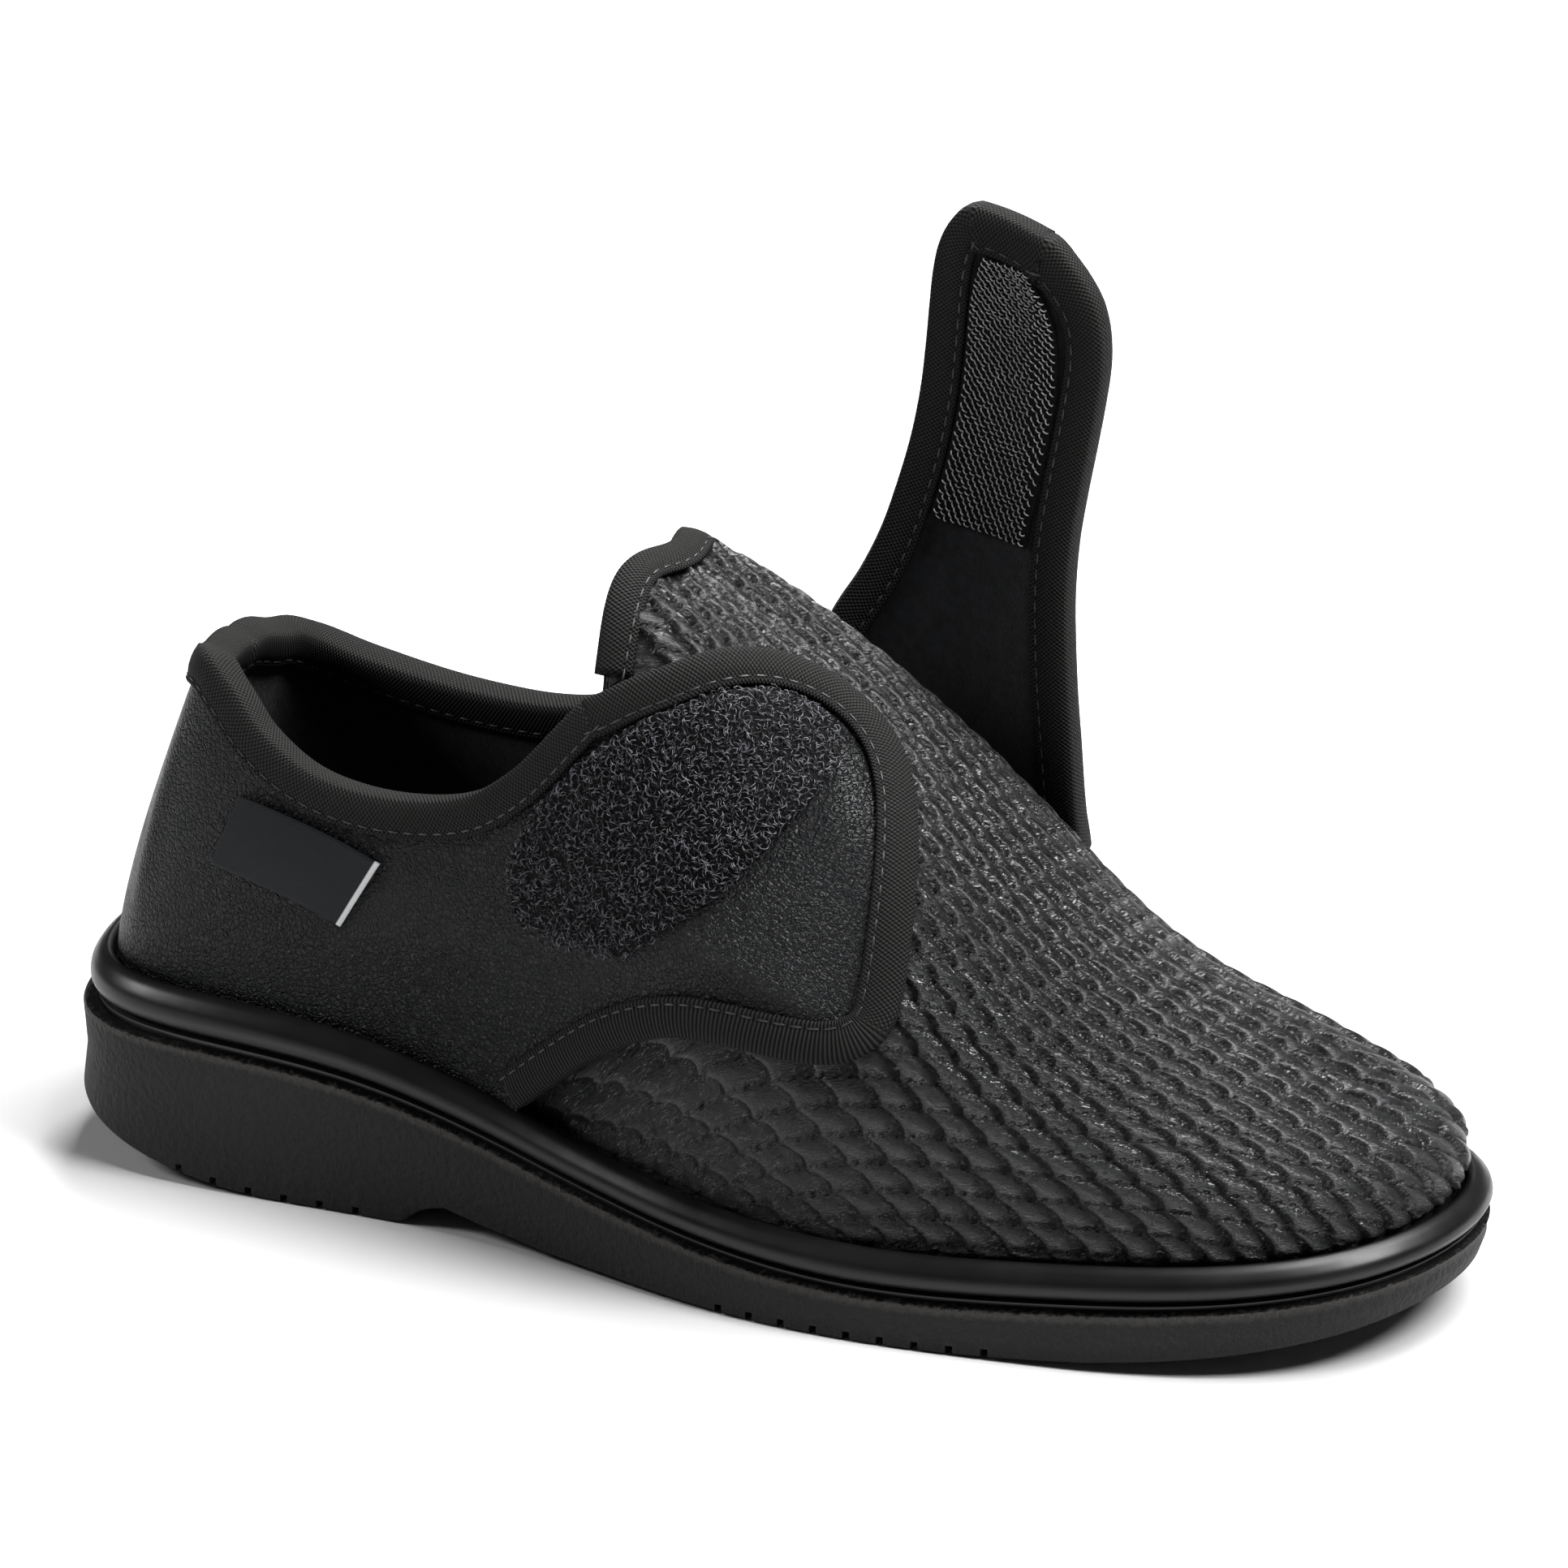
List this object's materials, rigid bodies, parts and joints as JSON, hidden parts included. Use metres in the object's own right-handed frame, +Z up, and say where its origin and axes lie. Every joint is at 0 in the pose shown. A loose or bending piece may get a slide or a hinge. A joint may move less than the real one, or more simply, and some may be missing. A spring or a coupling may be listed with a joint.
{
  "type": "therapeutic shoe",
  "caption": "Right-foot therapeutic shoe with a moulded sole, a braided stretch vamp, grained quarters, a wide side flap and an open upright closing strap.",
  "frame": {"origin": "middle of the heel's flat tread, on the floor", "axes": "+Y to the toe, +X to the outer side of the right foot, +Z up"},
  "size_m": [0.1005, 0.265, 0.1766],
  "materials": {
    "sole": "moulded satin and textured",
    "insole": "matt",
    "stretch_textile": "quilted in braided rows",
    "leather": "grained, soft satin",
    "tape": "woven, matt",
    "loop": "fuzzy loops",
    "hook": "rows of small hooks",
    "label": "woven, bare"
  },
  "bodies": {
    "root": {"sole": "sole", "insole": "insole", "upper": "stretch_textile", "outer_quarter": "leather", "inner_quarter": "leather", "strap": "leather", "hook_pad": "hook", "collar_binding": "tape", "flap_binding": "tape", "tongue_binding": "tape", "strap_binding": "tape", "inner_binding": "tape", "loop_pad": "loop", "label": "label"}
  },
  "joints": []
}
